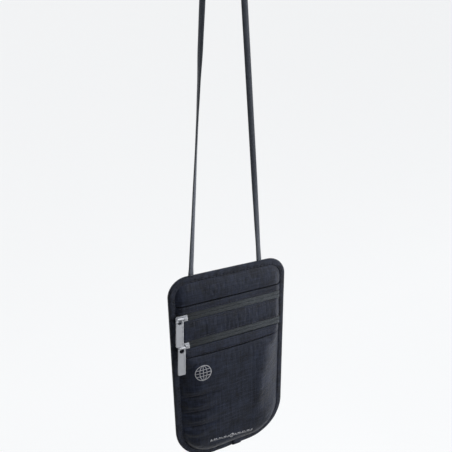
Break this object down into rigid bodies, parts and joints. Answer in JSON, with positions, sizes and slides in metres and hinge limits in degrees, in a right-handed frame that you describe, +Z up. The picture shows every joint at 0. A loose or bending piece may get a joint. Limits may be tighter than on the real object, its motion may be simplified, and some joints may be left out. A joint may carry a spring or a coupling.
{
  "type": "neck pouch wallet",
  "caption": "Flat rounded fabric pouch with two horizontal zipped pockets and bound edges, hung from a flat cord.",
  "frame": {"origin": "top of the cord's loop, where it passes over the wearer's neck or a hook", "axes": "+Z up along the hanging pouch, +X across its width, +Y out of its back, so the zips face -Y"},
  "size_m": [0.116, 0.0143, 0.5416],
  "materials": {
    "ripstop": "ripstop woven nylon",
    "lining": "plain woven nylon",
    "binding": "ribbed binding tape",
    "zip_tape": "herringbone woven tape",
    "zip_coil": "nylon coil",
    "cord": "flat braid",
    "slider_metal": "satin",
    "shield_film": "satin film"
  },
  "bodies": {
    "pouch": {"edge_binding": "binding", "binding_end_lap": "binding", "back_panel": "ripstop", "shield_lining_back": "shield_film", "pocket_divider": "lining", "shield_lining_front": "shield_film", "top_panel": "ripstop", "top_hem": "ripstop", "middle_panel": "ripstop", "lower_hem": "ripstop", "lower_panel": "ripstop", "upper_tape_top": "zip_tape", "upper_tape_bottom": "zip_tape", "upper_coil_top": "zip_coil", "upper_coil_bottom": "zip_coil", "lower_tape_top": "zip_tape", "lower_tape_bottom": "zip_tape", "lower_coil_top": "zip_coil", "lower_coil_bottom": "zip_coil", "neck_cord": "cord"},
    "upper_slider": {"upper_slider_body": "slider_metal", "upper_slider_bridge": "slider_metal"},
    "upper_pull": {"upper_pull": "slider_metal"},
    "lower_slider": {"lower_slider_body": "slider_metal", "lower_slider_bridge": "slider_metal"},
    "lower_pull": {"lower_pull": "slider_metal"}
  },
  "joints": [
    {"name": "upper_slider_slide", "type": "slide", "parent": "pouch", "child": "upper_slider", "axis": [1, 0, 0], "range_m": [0, 0.093]},
    {"name": "upper_pull_swing", "type": "hinge", "parent": "upper_slider", "child": "upper_pull", "pos_m": [-0.05015, -0.00585, -0.3761], "axis": [-0.9951, 0, 0.0993], "range_deg": [0, 165]},
    {"name": "lower_slider_slide", "type": "slide", "parent": "pouch", "child": "lower_slider", "axis": [1, 0, 0], "range_m": [0, 0.093]},
    {"name": "lower_pull_swing", "type": "hinge", "parent": "lower_slider", "child": "lower_pull", "pos_m": [-0.05015, -0.0074, -0.4042], "axis": [-0.9951, 0, 0.0993], "range_deg": [0, 82]}
  ]
}
